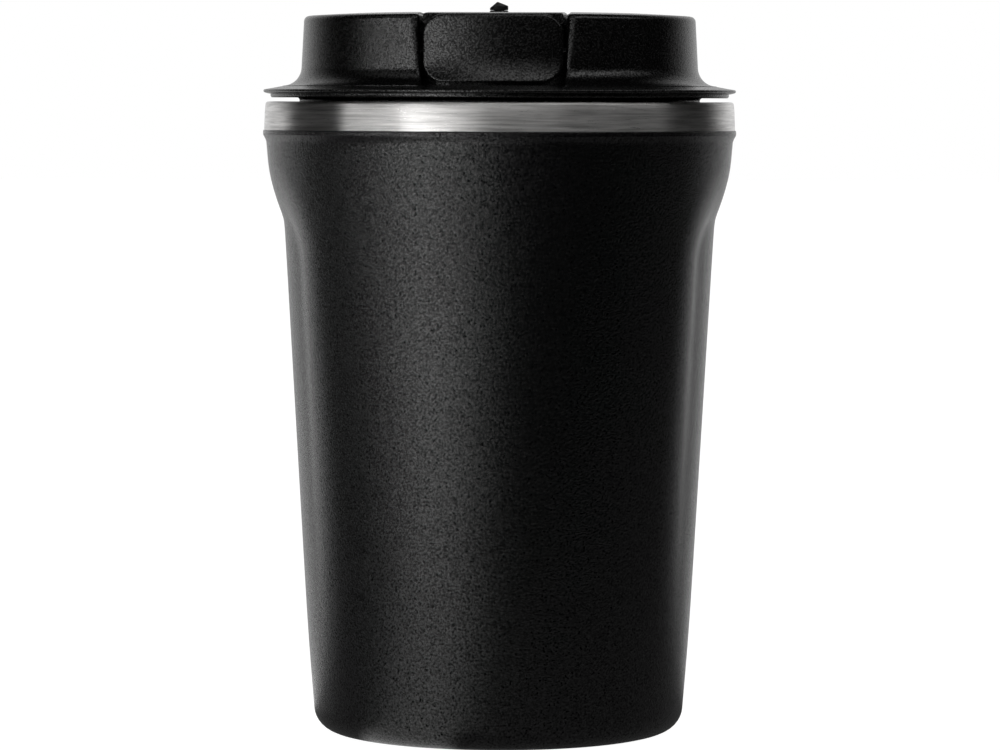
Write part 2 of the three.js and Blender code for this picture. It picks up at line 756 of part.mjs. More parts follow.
const cup = new THREE.Group();
cup.add(
  piece('outer_wall', outerWall(), POWDER_COAT),
  piece('inner_liner', innerLiner(), BRUSHED_STEEL),
  piece('liner_base', linerBase(), BRUSHED_STEEL),
  piece('vacuum_base', vacuumBase(), PLATE_STEEL),
  piece('base_cover', baseCover(), PLATE_STEEL),
  piece('seal_bead', sealBead(), GLASS_SOLDER),
  piece('getter', getter(), GETTER_ALLOY),
);

const pin = rod(PIN_RADIUS, PIN_HALF_LENGTH, HINGE_PLACE, HINGE_HEIGHT);
const lid = new THREE.Group();
lid.rotation.z = LID_CLOCKING;
lid.add(
  piece('lid_gasket', lidGasket(), SILICONE),
  piece('lid_insert', lidInsert(), LID_PLASTIC),
  piece('lid_shell', lidShell(), LID_PLASTIC),
  piece('hinge_pin', pin, PLATE_STEEL),
  piece('flip_cap', flipCap(), LID_PLASTIC),
  piece('mouth_plug', mouthPlug(), SILICONE),
  piece('vent_plug', ventPlug(), SILICONE),
);

const tumbler = new THREE.Group();
tumbler.name = 'tumbler';
tumbler.add(cup, lid);

export default tumbler;
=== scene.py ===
import json
import math

import bmesh
import bpy
import numpy as np
from mathutils import Matrix, Vector


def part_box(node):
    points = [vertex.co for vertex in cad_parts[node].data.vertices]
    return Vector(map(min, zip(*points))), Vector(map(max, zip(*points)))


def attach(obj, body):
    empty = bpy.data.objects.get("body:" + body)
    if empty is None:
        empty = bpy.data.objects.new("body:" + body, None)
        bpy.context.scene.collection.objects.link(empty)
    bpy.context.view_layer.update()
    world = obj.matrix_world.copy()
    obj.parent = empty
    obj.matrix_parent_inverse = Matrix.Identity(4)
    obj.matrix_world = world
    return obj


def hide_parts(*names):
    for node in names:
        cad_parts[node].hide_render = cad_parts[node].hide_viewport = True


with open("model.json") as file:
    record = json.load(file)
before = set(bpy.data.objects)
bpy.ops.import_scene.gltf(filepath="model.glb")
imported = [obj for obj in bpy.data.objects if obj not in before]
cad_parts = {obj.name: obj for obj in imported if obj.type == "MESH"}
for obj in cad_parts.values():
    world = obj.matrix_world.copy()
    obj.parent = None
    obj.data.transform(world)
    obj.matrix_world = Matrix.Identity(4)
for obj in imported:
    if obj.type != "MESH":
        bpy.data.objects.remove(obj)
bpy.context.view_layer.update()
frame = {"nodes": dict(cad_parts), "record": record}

# Sizes below are in millimetres, as on a drawing; meshes are made in metres with this factor.
MM = 0.001

# ---------------------------------------------------------------- places taken from the frame


def low(node):
    """Lowest corner of a CAD node's box, in millimetres."""
    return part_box(node)[0] / MM


def high(node):
    """Highest corner of a CAD node's box, in millimetres."""
    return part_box(node)[1] / MM


def joint(name):
    return next(j for j in frame["record"]["behaviour"]["joints"] if j["name"] == name)


HINGE = joint("flip_hinge")
CLOCKING = math.atan2(-HINGE["axis"][1], -HINGE["axis"][0])  # the lid's turn from the cup's front
HINGE_Y = math.hypot(*HINGE["pos_m"][:2]) / MM
HINGE_Z = HINGE["pos_m"][2] / MM

COAT_TOP = high("outer_wall").z + 0.35  # the coat is drawn a little further up the band than in the CAD
COAT_RADIUS = high("outer_wall").x
RIM_TOP = high("inner_liner").z
BAND_RADIUS = high("inner_liner").x
LINER_SEAM = low("inner_liner").z
LINER_UNDERSIDE = low("liner_base").z
LID_TOP = high("lid_shell").z
BRIM_UNDERSIDE = low("lid_shell").z
BRIM_RADIUS = high("lid_shell").x
FLANGE_TOP = high("lid_insert").z
PLUG_BOTTOM = low("lid_insert").z
FLANGE_RADIUS = high("lid_insert").x
GASKET_BOTTOM = low("lid_gasket").z
GASKET_TOP = high("lid_gasket").z
GASKET_RADIUS = high("lid_gasket").x
PANEL_BOTTOM = low("flip_cap").z - 0.2  # the panel is drawn a little longer than in the CAD
TAIL_TOP = high("vent_plug").z

# Cup
CONE_RADIUS = 34.29  # of the outer cone, carried down to the foot's plane
CONE_SLOPE = 0.0843
FOOT_FILLET = 4.5
FOOT_RING_INNER = 26
WALL = 0.9
RECESS_RADIUS = 34.8  # of the recess floor's cone, carried down to the foot's plane
RECESS_SLOPE = 0.0568
RECESS_HALF_WIDTH = 17
RECESS_TOP = 96
RECESS_CORNER = 8
RECESS_ROLL = 11.3
RECESS_DEVELOP_RADIUS = 41
BORE_RADIUS = 31.6
BORE_SLOPE = 0.0531
LINER_WALL = 0.7
SEAT = 104
NECK_RADIUS = 39.3

# Screw thread
THREAD_LEAD = 18
THREAD_STARTS = 3
THREAD_SPAN = math.radians(100)
NECK_THREAD_HEIGHT = 109.9
LID_THREAD_DELAY = math.radians(28)

# Lid
BARREL_TOP_RADIUS = 36.5
BARREL_FOOT_RADIUS = 37.2
BARREL_FLARE = 3.5
BRIM_TOP = 120.75
CHANNEL_HALF = 13
CHANNEL_TOP_HALF = 13.3
CHANNEL_EDGE_ROUND = 0.4
CHANNEL_FLOOR = 127
CHANNEL_END = 23.3
CHANNEL_END_LEAN = 1.1  # how far its end wall leans back at the top, clear of the open cap
NOTCH_RADIUS = 33.3
PLUG_RADIUS = 37.4
GROOVE_RADIUS = 35.4
EDGE_ROUND = 0.95  # on the lid's outer top edge
NOTCH_EDGE_ROUND = 1.3  # on the upright edges of the notch at the top, tighter towards its foot
NOTCH_FOOT_ROUND = 0.4
TOP_CROWN = 1.1  # rise of the lid's top if its curve went on to the middle; it ends beside the channel
ARM_CROWN = 0.7  # rise of the arm's top to the middle of the lid

# Mouth, vent and flip cap
# Knife cuts on the vent plug's tail: (direction that it faces in degrees, slope, depth under the tip)
TAIL_CUTS = [
    (0, 0.4, 0),
    (65, 0.5, 0.04),
    (140, 0.7, 0.01),
    (185, 0.85, 0),
    (235, 0.6, 0.05),
    (300, 0.45, 0.02),
]
MOUTH_Y = -25
MOUTH_HALF = (7.8, 3.3)  # half length and half width at the deck's underside
VENT_Y = -4
CAP_HALF = 12.65
CAP_PLATE = 1.8
PANEL_TOP = 133.6
PANEL_CORNER = 3.8
PANEL_THICKNESS = 1.7
PIN_RADIUS = 1.2
PIN_HALF = 15.3

# ---------------------------------------------------------------- outlines


def outline(corners, turn=math.radians(9)):
    """Closed outline through corners (x, y, fillet radius). A fillet is an arc, one point per `turn`."""
    points = []
    for i, corner in enumerate(corners):
        here = Vector(corner[:2])
        fillet = corner[2] if len(corner) > 2 else 0
        if fillet == 0:
            points.append(here)
            continue
        back = (Vector(corners[i - 1][:2]) - here).normalized()
        ahead = (Vector(corners[(i + 1) % len(corners)][:2]) - here).normalized()
        half = math.acos(max(-1, min(1, back.dot(ahead)))) / 2
        centre = here + (back + ahead).normalized() * fillet / math.sin(half)
        start = here + back * fillet / math.tan(half)
        sweep = math.copysign(math.pi - 2 * half, ahead.cross(back))
        chords = max(2, round(abs(sweep) / turn))
        for k in range(chords + 1):
            points.append(centre + Matrix.Rotation(sweep * k / chords, 2) @ (start - centre))
    return np.array([tuple(p) for p in points])


def divided(points, longest):
    """The closed outline with points added, so that no side is longer than this."""
    result = []
    for here, ahead in zip(points, np.roll(points, -1, axis=0)):
        parts = max(1, math.ceil(np.linalg.norm(ahead - here) / longest))
        result += [here + (ahead - here) * k / parts for k in range(parts)]
    return np.array(result)


def slot_outline(half_length, half_width, turn=math.radians(9)):
    corners = [
        (-half_length, -half_width, half_width),
        (half_length, -half_width, half_width),
        (half_length, half_width, half_width),
        (-half_length, half_width, half_width),
    ]
    return outline(corners, turn)


# ---------------------------------------------------------------- shells: (vertices, faces) in millimetres


def grid_shell(rings, closed=False, capped=False):
    """Quads between rings of equally many points; `closed` joins the last ring to the first."""
    count = len(rings[0])
    vertices = np.concatenate(rings)
    faces = []
    pairs = len(rings) if closed else len(rings) - 1
    for i in range(pairs):
        a, b = i * count, ((i + 1) % len(rings)) * count
        for k in range(count):
            n = (k + 1) % count
            faces.append((a + k, a + n, b + n, b + k))
    if capped:
        faces.append(tuple(range(count)))
        faces.append(tuple(range(len(vertices) - count, len(vertices))))
    return vertices, faces


def revolved(points, steps=192):
    """Closed outline of (radius, height) points turned about Z."""
    angles = 2 * math.pi * np.arange(steps) / steps
    rings = [
        np.column_stack((r * np.cos(angles), r * np.sin(angles), np.full(steps, z)))
        for r, z in points
    ]
    return grid_shell(rings, closed=True)


def stacked(levels):
    """Solid through plan outlines at rising heights: [(points, height), ...]."""
    rings = [np.column_stack((points, np.full(len(points), z))) for points, z in levels]
    return grid_shell(rings, capped=True)


def moved(shell, x=0, y=0, z=0):
    return shell[0] + np.array((x, y, z)), shell[1]


def turned(shell, angle, axis):
    matrix = np.array(Matrix.Rotation(angle, 3, axis))
    return shell[0] @ matrix.T, shell[1]


def joined(*shells):
    vertices, faces, start = [], [], 0
    for points, quads in shells:
        vertices.append(points)
        faces += [tuple(start + v for v in face) for face in quads]
        start += len(points)
    return np.concatenate(vertices), faces


def thread_ridges(root, crest, start_height, delay):
    """The screw's ridges: a rounded bar bent along a helix, fading in and out at its ends."""
    height = crest - root
    section = outline([
        (0, -0.85),
        (height, -0.55, 0.3),
        (height, 0.55, 0.3),
        (0, 0.85),
    ])
    steps = 60
    ridges = []
    for start in range(THREAD_STARTS):
        rings = []
        for k in range(steps + 1):
            along = THREAD_SPAN * k / steps
            angle = 2 * math.pi * start / THREAD_STARTS + delay + along
            fade = math.sqrt(max(0, math.sin(math.pi * k / steps))) ** 0.5
            radius = root + section[:, 0] * fade
            z = start_height + THREAD_LEAD * along / (2 * math.pi) + section[:, 1]
            rings.append(np.column_stack((radius * math.cos(angle), radius * math.sin(angle), z)))
        ridges.append(grid_shell(rings, capped=True))
    return joined(*ridges)


# ---------------------------------------------------------------- objects


def mesh_object(name, shell):
    mesh = bpy.data.meshes.new(name)
    mesh.from_pydata((shell[0] * MM).tolist(), [], shell[1])
    tidy = bmesh.new()
    tidy.from_mesh(mesh)
    bmesh.ops.remove_doubles(tidy, verts=tidy.verts, dist=1e-7)
    bmesh.ops.dissolve_degenerate(tidy, edges=tidy.edges, dist=1e-7)
    bmesh.ops.recalc_face_normals(tidy, faces=tidy.faces)
    tidy.to_mesh(mesh)
    tidy.free()
    thing = bpy.data.objects.new(name, mesh)
    bpy.context.scene.collection.objects.link(thing)
    return thing


def carve(thing, tools):
    """Cuts or joins shells: tools is [("DIFFERENCE" or "UNION", shell), ...]."""
    helpers = []
    for operation, shell in tools:
        helper = mesh_object("tool", shell)
        modifier = thing.modifiers.new("carve", "BOOLEAN")
        modifier.operation = operation
        modifier.solver = "EXACT"
        modifier.object = helper
        helpers.append(helper)
    evaluated = thing.evaluated_get(bpy.context.evaluated_depsgraph_get())
    carved = bpy.data.meshes.new_from_object(evaluated)
    thing.modifiers.clear()
    plain = thing.data
    thing.data = carved
    carved.name = thing.name
    bpy.data.meshes.remove(plain)
    for helper in helpers:
        bpy.data.meshes.remove(helper.data)
    return thing


def finished(thing, material, body, slot, *nodes, sharp=35):
    """Gives a piece its shading, material and body, and lets it stand for CAD nodes."""
    thing.data.shade_smooth()
    thing.data.set_sharp_from_angle(angle=math.radians(sharp))
    thing.data.materials.clear()
    thing.data.materials.append(material)
    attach(thing, body)
    if nodes:
        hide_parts(*nodes)
    return thing


def clocked(shell):
    """A shell made in the lid's own frame, turned to where the lid sits."""
    return turned(shell, CLOCKING, "Z")


# ---------------------------------------------------------------- materials


class NodeTree:
    """Short way to build a node tree."""

    def __init__(self, tree):
        self.tree = tree

    def add(self, kind, **settings):
        node = self.tree.nodes.new("ShaderNode" + kind)
        for key, value in settings.items():
            if key in node.inputs:
                node.inputs[key].default_value = value
            else:
                setattr(node, key, value)
        return node

    def link(self, output, target):
        self.tree.links.new(output, target)

    def noise(self, vector, scale, detail=2.0, roughness=0.5):
        node = self.add("TexNoise", Scale=scale, Detail=detail, Roughness=roughness)
        self.link(vector, node.inputs["Vector"])
        return node.outputs["Fac"]

    def span(self, value, lowest, highest, start=0.0, end=1.0):
        """Maps start..end to lowest..highest."""
        node = self.add("MapRange")
        self.link(value, node.inputs["Value"])
        limits = {"From Min": start, "From Max": end, "To Min": lowest, "To Max": highest}
        for socket, number in limits.items():
            node.inputs[socket].default_value = number
        return node.outputs["Result"]


class Nodes(NodeTree):
    """A material's node tree, round its Principled shader."""

    def __init__(self, name):
        self.material = bpy.data.materials.new(name)
        self.material.use_nodes = True
        super().__init__(self.material.node_tree)
        self.shader = self.tree.nodes["Principled BSDF"]

    def set(self, **values):
        for key, value in values.items():
            self.shader.inputs[key.replace("_", " ")].default_value = value

    def tint(self, value, dark, light):
        node = self.add("ValToRGB")
        node.color_ramp.elements[0].color = (*dark, 1)
        node.color_ramp.elements[1].color = (*light, 1)
        self.link(value, node.inputs["Fac"])
        self.link(node.outputs["Color"], self.shader.inputs["Base Color"])

    def bump(self, height, depth, strength=1.0, under=None):
        """Bump of `depth` metres; `under` is a bump that this one lies on."""
        node = self.add("Bump", Strength=strength, Distance=depth)
        self.link(height, node.inputs["Height"])
        if under is not None:
            self.link(under, node.inputs["Normal"])
        self.link(node.outputs["Normal"], self.shader.inputs["Normal"])
        return node.outputs["Normal"]

    def place(self):
        return self.add("TexCoord").outputs["Object"]


def base_colour(slot, share=1.0):
    entry = next(m for m in frame["record"]["materials"] if m["slot"] == slot)
    return tuple(c * share for c in entry["base_color"][:3])


def shades(colour, spread):
    return [tuple(c * (1 + s * spread) for c in colour) for s in (-1, 1)]


def powder_coat():
    """Satin black powder coat: fine orange peel with tiny specks that catch the light."""
    m = Nodes("powder_coat")
    place = m.place()
    cloud = m.noise(place, 60, 3)
    m.tint(cloud, *shades(base_colour("coated_steel", 0.3), 0.12))
    peel = m.noise(place, 900, 2, 0.5)
    grain = m.noise(place, 2500, 3, 0.7)
    m.link(m.span(grain, 0.14, 0.26, 0.3, 0.7), m.shader.inputs["Roughness"])
    m.link(m.span(grain, 0.05, 0.95, 0.34, 0.66), m.shader.inputs["Specular IOR Level"])
    under = m.bump(peel, 0.00004, 0.5)
    m.bump(grain, 0.00011, 1.0, under)
    m.set(IOR=1.5)
    return m.material


def moulded_plastic():
    """Black polypropylene: satin, with the fine eroded grain of the mould."""
    m = Nodes("moulded_plastic")
    place = m.place()
    cloud = m.noise(place, 45, 2)
    m.tint(cloud, *shades(base_colour("lid_plastic", 0.15), 0.1))
    grain = m.noise(place, 2900, 2, 0.5)
    m.link(m.span(grain, 0.2, 0.32, 0.3, 0.7), m.shader.inputs["Roughness"])
    m.link(m.span(grain, 0.15, 0.9, 0.34, 0.66), m.shader.inputs["Specular IOR Level"])
    m.bump(grain, 0.00006, 1.0)
    m.set(IOR=1.49)
    return m.material


def silicone():
    """Matte black silicone with a faint bloom."""
    m = Nodes("silicone")
    place = m.place()
    cloud = m.noise(place, 150, 4)
    m.tint(cloud, *shades(base_colour("black_silicone", 0.4), 0.25))
    grain = m.noise(place, 2500, 2)
    m.link(m.span(grain, 0.5, 0.65, 0.3, 0.7), m.shader.inputs["Roughness"])
    m.bump(grain, 0.00002, 0.3)
    m.set(Specular_IOR_Level=0.4, IOR=1.41, Sheen_Weight=0.05)
    return m.material


def brushed_steel():
    """Stainless steel brushed round the cup: long fine scratches along the circumference."""
    m = Nodes("brushed_steel")
    place = m.add("SeparateXYZ")
    m.link(m.place(), place.inputs["Vector"])
    angle = m.add("Math", operation="ARCTAN2")
    m.link(place.outputs["Y"], angle.inputs[0])
    m.link(place.outputs["X"], angle.inputs[1])
    along = m.add("Math", operation="MULTIPLY")
    along.inputs[1].default_value = 0.002
    m.link(angle.outputs["Value"], along.inputs[0])
    radius = m.add("VectorMath", operation="LENGTH")
    flat = m.add("CombineXYZ")
    m.link(place.outputs["X"], flat.inputs["X"])
    m.link(place.outputs["Y"], flat.inputs["Y"])
    m.link(flat.outputs["Vector"], radius.inputs["Vector"])
    brushed = m.add("CombineXYZ")
    m.link(along.outputs["Value"], brushed.inputs["X"])
    m.link(radius.outputs["Value"], brushed.inputs["Y"])
    m.link(place.outputs["Z"], brushed.inputs["Z"])
    scratches = m.noise(brushed.outputs["Vector"], 9000, 4, 0.7)
    streaks = m.noise(brushed.outputs["Vector"], 1800, 3, 0.6)
    m.tint(m.span(streaks, 0, 1, 0.3, 0.7), *shades(base_colour("rim_steel"), 0.35))
    m.link(m.span(scratches, 0.26, 0.37, 0.3, 0.7), m.shader.inputs["Roughness"])
    m.bump(scratches, 0.00002, 0.6)
    m.set(Metallic=1.0, Anisotropic=0.95, Anisotropic_Rotation=0.25)
    tangent = m.add("Tangent", direction_type="RADIAL", axis="Z")
    m.link(tangent.outputs["Tangent"], m.shader.inputs["Tangent"])
    return m.material


def pressed_steel():
    """Plain pressed sheet: cold-rolled, faintly cloudy."""
    m = Nodes("pressed_steel")
    place = m.place()
    cloud = m.noise(place, 220, 4, 0.6)
    m.tint(cloud, *shades(base_colour("plate_steel"), 0.1))
    m.link(m.span(cloud, 0.26, 0.42, 0.3, 0.7), m.shader.inputs["Roughness"])
    m.bump(m.noise(place, 2600, 2), 0.00001, 0.3)
    m.set(Metallic=1.0)
    return m.material


def solder_glass():
    """Dark fused glass bead."""
    m = Nodes("solder_glass")
    place = m.place()
    swirl = m.noise(place, 900, 3)
    m.tint(swirl, *shades(base_colour("solder_glass"), 0.3))
    m.link(m.span(swirl, 0.08, 0.2), m.shader.inputs["Roughness"])
    m.set(IOR=1.7, Coat_Weight=0.5)
    return m.material


def getter_alloy():
    """Grey sintered powder pill."""
    m = Nodes("getter_alloy")
    place = m.place()
    powder = m.noise(place, 3000, 4, 0.7)
    m.tint(powder, *shades(base_colour("getter_alloy"), 0.35))
    m.link(m.span(powder, 0.55, 0.8), m.shader.inputs["Roughness"])
    m.bump(powder, 0.00006, 0.7)
    m.set(Metallic=0.7)
    return m.material


COAT = powder_coat()
PLASTIC = moulded_plastic()
SILICONE = silicone()
STEEL = brushed_steel()
PLATE = pressed_steel()

# ---------------------------------------------------------------- cup


def cone_radius(z):
    return CONE_RADIUS + CONE_SLOPE * z


def bore_radius(z):
    return BORE_RADIUS + BORE_SLOPE * z


def recess_depth(x, y, z):
    """How far the wall is pressed in: full on the recess floor, rolling out to nothing round it."""
    full = cone_radius(z) - RECESS_RADIUS - RECESS_SLOPE * z
    full = (full + np.sqrt(full**2 + 0.03)) / 2
    across = np.arctan2(np.abs(y), np.abs(x)) * RECESS_DEVELOP_RADIUS
    beside = across - (RECESS_HALF_WIDTH - RECESS_CORNER)
    above = z - (RECESS_TOP - RECESS_CORNER)
    corner = np.hypot(np.maximum(beside, 0), np.maximum(above, 0))
    outside = corner + np.minimum(np.maximum(beside, above), 0) - RECESS_CORNER
    soft = (outside + np.sqrt(outside**2 + 0.9**2)) / 2
    share = np.clip(1 - soft / RECESS_ROLL, 0, 1)
    foot = np.clip(z / 18, 0, 1)
    return full * share**2 * foot


def outer_wall():
    corners = [
        (FOOT_RING_INNER, 3.2, 0.3),
        (FOOT_RING_INNER, 0, 1.4),
        (CONE_RADIUS, 0, FOOT_FILLET),
        (cone_radius(COAT_TOP - 1.7), COAT_TOP - 1.7, 2),
        (COAT_RADIUS, COAT_TOP - 0.6, 0.3),
        (COAT_RADIUS, COAT_TOP + 0.27, 0.2),
        (COAT_RADIUS - 1.45, COAT_TOP + 0.27),
        (cone_radius(0) - WALL, WALL, FOOT_FILLET - WALL),
        (FOOT_RING_INNER + WALL, WALL, 0.5),
        (FOOT_RING_INNER + WALL, 3.2, 0.3),
    ]
    vertices, faces = revolved(divided(outline(corners), 1.1), 288)
    x, y, z = vertices.T
    radius = np.hypot(x, y)
    keep = (radius - recess_depth(x, y, z)) / radius
    wall = mesh_object("coated_wall", (np.column_stack((x * keep, y * keep, z)), faces))
    finished(wall, COAT, "cup", "coated_steel", "outer_wall", sharp=50)


def inner_liner():
    neck_outer = NECK_RADIUS + LINER_WALL
    band_bottom = COAT_TOP + 0.3
    corners = [
        (bore_radius(LINER_SEAM), LINER_SEAM - 0.25),
        (bore_radius(SEAT), SEAT, 0.6),
        (NECK_RADIUS, SEAT, 0.6),
        (NECK_RADIUS, RIM_TOP, 1.3),
        (BAND_RADIUS - 0.3, RIM_TOP, 0.55),
        (BAND_RADIUS - 0.12, band_bottom + 3.6, 8),
        (BAND_RADIUS, band_bottom),
        (BAND_RADIUS - 1.7, band_bottom, 0.3),
        (BAND_RADIUS - 1.7, band_bottom - 3.2),
        (BAND_RADIUS - 2.4, band_bottom - 3.2),
        (BAND_RADIUS - 2.4, RIM_TOP - 1.5, 1),
        (neck_outer, RIM_TOP - 1.5, 1),
        (neck_outer, SEAT - LINER_WALL),
        (bore_radius(SEAT) + LINER_WALL, SEAT - LINER_WALL),
        (bore_radius(LINER_SEAM) + LINER_WALL, LINER_SEAM - 0.25),
    ]
    ridges = thread_ridges(NECK_RADIUS + 0.2, NECK_RADIUS - 0.95, NECK_THREAD_HEIGHT, 0)
    liner = mesh_object("steel_liner", joined(revolved(outline(corners), 256), ridges))
    finished(liner, STEEL, "cup", "rim_steel", "inner_liner", sharp=40)


def liner_base():
    floor = LINER_UNDERSIDE + LINER_WALL
    corners = [
        (0, LINER_UNDERSIDE),
        (bore_radius(LINER_UNDERSIDE) + LINER_WALL, LINER_UNDERSIDE, 6 + LINER_WALL),
        (bore_radius(LINER_SEAM) + LINER_WALL, LINER_SEAM - 0.27),
        (bore_radius(LINER_SEAM), LINER_SEAM - 0.27),
        (bore_radius(floor), floor, 6),
        (0, floor),
    ]
    base = mesh_object("liner_floor", revolved(outline(corners), 192))
    finished(base, STEEL, "cup", "rim_steel", "liner_base")


def base_cover():
    rim, bottom = high("base_cover").x, low("base_cover").z
    dish, sheet = 0.6, 0.8
    corners = [
        (0, bottom + dish),
        (rim - 7, bottom + dish, 4),
        (rim - 5.8, bottom, 4),
        (rim + 0.25, bottom, 0.5),
        (rim + 0.25, bottom + sheet),
        (rim - 5.8, bottom + sheet, 3),
        (rim - 7, bottom + dish + sheet, 3),
        (0, bottom + dish + sheet),
    ]
    cover = mesh_object("foot_cover", revolved(outline(corners), 160))
    finished(cover, PLATE, "cup", "plate_steel", "base_cover")


def sealed_pieces():
    """The pieces inside the vacuum space keep their CAD shapes."""
    for node, material in (("vacuum_base", PLATE), ("seal_bead", solder_glass()), ("getter", getter_alloy())):
        mesh = frame["nodes"][node].data
        mesh.materials.clear()
        mesh.materials.append(material)


# ---------------------------------------------------------------- lid


def lid_gasket():
    inner = GROOVE_RADIUS + 0.3
    middle = (GASKET_BOTTOM + GASKET_TOP) / 2
    corners = [
        (inner, GASKET_BOTTOM, 0.2),
        (GASKET_RADIUS, GASKET_BOTTOM, 0.45),
        (GASKET_RADIUS, GASKET_BOTTOM + 0.95, 0.3),
        (GASKET_RADIUS - 0.9, middle, 0.3),
        (GASKET_RADIUS, GASKET_TOP - 0.95, 0.3),
        (GASKET_RADIUS, GASKET_TOP, 0.45),
        (inner, GASKET_TOP, 0.2),
    ]
    ring = mesh_object("silicone_ring", revolved(outline(corners), 192))
    finished(ring, SILICONE, "lid_seal", "black_silicone", "lid_gasket")


def lid_insert():
    floor = PLUG_BOTTOM + 2
    lip = PLUG_RADIUS - 0.8
    flange_bottom = BRIM_UNDERSIDE - 0.7
    corners = [
        (0, PLUG_BOTTOM),
        (lip, PLUG_BOTTOM, 0.6),
        (lip, SEAT, 0.2),
        (GROOVE_RADIUS, SEAT),
        (GROOVE_RADIUS, GASKET_TOP + 0.3),
        (PLUG_RADIUS, GASKET_TOP + 0.3, 0.25),
        (PLUG_RADIUS, flange_bottom, 0.5),
        (FLANGE_RADIUS, flange_bottom, 0.4),
        (FLANGE_RADIUS, BRIM_UNDERSIDE + 0.05),
        (33.4, BRIM_UNDERSIDE + 0.05),
        (33.4, floor, 1),
        (0, floor),
    ]
    insert = mesh_object("lid_plug", clocked(revolved(outline(corners), 192)))
    half_pitch = THREAD_LEAD / THREAD_STARTS / 2
    height = NECK_THREAD_HEIGHT - half_pitch + THREAD_LEAD * LID_THREAD_DELAY / (2 * math.pi)
    ridges = thread_ridges(PLUG_RADIUS - 0.3, PLUG_RADIUS + 1.45, height, LID_THREAD_DELAY)
    length, width = MOUTH_HALF
    top = FLANGE_TOP

    def duct(grow, base, end):
        mouth = slot_outline(length + grow, width + grow)
        vent = slot_outline(1.601 + grow, 1.6 + grow)
        return joined(
            moved(stacked([(mouth, base), (mouth, end)]), y=MOUTH_Y),
            moved(stacked([(vent, base), (vent, end)]), y=VENT_Y),
        )

    carve(insert, [
        ("UNION", clocked(duct(1.5, PLUG_BOTTOM + 1, top))),
        ("DIFFERENCE", clocked(duct(0, PLUG_BOTTOM - 1, top + 1))),
    ])
    finished(insert, PLASTIC, "lid", "lid_plastic", "lid_insert", sharp=30)
    threads = mesh_object("lid_thread", clocked(ridges))
    finished(threads, PLASTIC, "lid", "lid_plastic", "lid_insert", sharp=40)


def barrel_plan(radius, half, back, corner, inner_corner=2.0):
    """Plan of the barrel at one height: a circle opened at the front by the channel, round-edged."""
    cx = half + corner
    cy = -math.sqrt((radius - corner) ** 2 - cx**2)
    lean = math.atan2(cy, cx)

    def arc(x, y, r, start, end, count):
        angles = np.linspace(start, end, count)
        return np.column_stack((x + r * np.cos(angles), y + r * np.sin(angles)))

    front = arc(cx, cy, corner, lean, -math.pi, 12)
    side = np.column_stack((np.full(24, half), np.linspace(cy, back - inner_corner, 26)[1:-1]))
    turn = arc(half - inner_corner, back - inner_corner, inner_corner, 0, math.pi / 2, 10)
    right = np.concatenate((front, side, turn))
    left = right[::-1] * (-1, 1)
    outer = arc(0, 0, radius, -math.pi - lean, lean - 2 * math.pi, 262)[1:-1]
    return np.concatenate((right, left, outer))


def round_over(radius, below_top):
    """How far a rounded top edge of this radius lies back at a height below the top."""
    rise = max(radius - below_top, 0)
    return radius - math.sqrt(radius**2 - rise**2)


def barrel():
    """The drum with its notch and channel, from the brim up to the rounded top edges."""
    top = LID_TOP
    profile = outline([
        (60, BRIM_TOP),
        (BARREL_FOOT_RADIUS, BRIM_TOP, BARREL_FLARE),
        (BARREL_TOP_RADIUS, top),
        (60, top),
    ], math.radians(6))
    levels = []
    outer_points = [p for p in profile if p[0] < 59]
    flare_radius = outer_points[0][0]
    levels.append((flare_radius, BRIM_TOP - 0.6))
    levels += [tuple(point) for point in outer_points[:-1]]
    slope = (BARREL_TOP_RADIUS - outer_points[-2][0]) / (top - outer_points[-2][1])
    for angle in np.linspace(0, math.pi / 2, 13):
        z = top - EDGE_ROUND * (1 - math.sin(angle))
        inset = EDGE_ROUND * (1 - math.cos(angle))
        levels.append((BARREL_TOP_RADIUS + slope * (z - top) - inset, z))
    rings = []
    for radius, z in levels:
        rise = (z - BRIM_TOP) / (top - BRIM_TOP)
        half = CHANNEL_HALF + (CHANNEL_TOP_HALF - CHANNEL_HALF) * rise
        inset = round_over(CHANNEL_EDGE_ROUND, top - z)
        corner = NOTCH_FOOT_ROUND + (NOTCH_EDGE_ROUND - NOTCH_FOOT_ROUND) * min(max(rise, 0), 1) - inset
        back = CHANNEL_END + CHANNEL_END_LEAN * rise + inset
        rings.append((barrel_plan(radius, half + inset, back, corner), z))
    edge = BARREL_TOP_RADIUS - EDGE_ROUND
    for radius in np.linspace(edge, math.hypot(half + inset, back), 8)[1:]:
        z = top + TOP_CROWN * (1 - (radius / edge) ** 2)
        rings.append((barrel_plan(radius, half + inset, back, corner), z))
    return stacked(rings)


def deck():
    """Channel floor and the wall behind the panel: a block with a rounded front edge."""
    half = CHANNEL_TOP_HALF + 1.5
    edge = 0.9
    levels = []
    for angle in np.linspace(0, math.pi / 2, 8):
        inset = edge * (1 - math.cos(angle))
        levels.append((inset, CHANNEL_FLOOR - edge * (1 - math.sin(angle))))
    levels.insert(0, (0, BRIM_UNDERSIDE + 0.1))
    rings = []
    for inset, z in levels:
        radius = NOTCH_RADIUS - inset
        spread = math.asin(half / radius)
        angles = np.linspace(-math.pi / 2 - spread, -math.pi / 2 + spread, 40)
        front = np.column_stack((radius * np.cos(angles), radius * np.sin(angles)))
        back = np.array([(half, CHANNEL_END + 1.5), (-half, CHANNEL_END + 1.5)])
        rings.append((np.concatenate((front, back)), z))
    return stacked(rings)


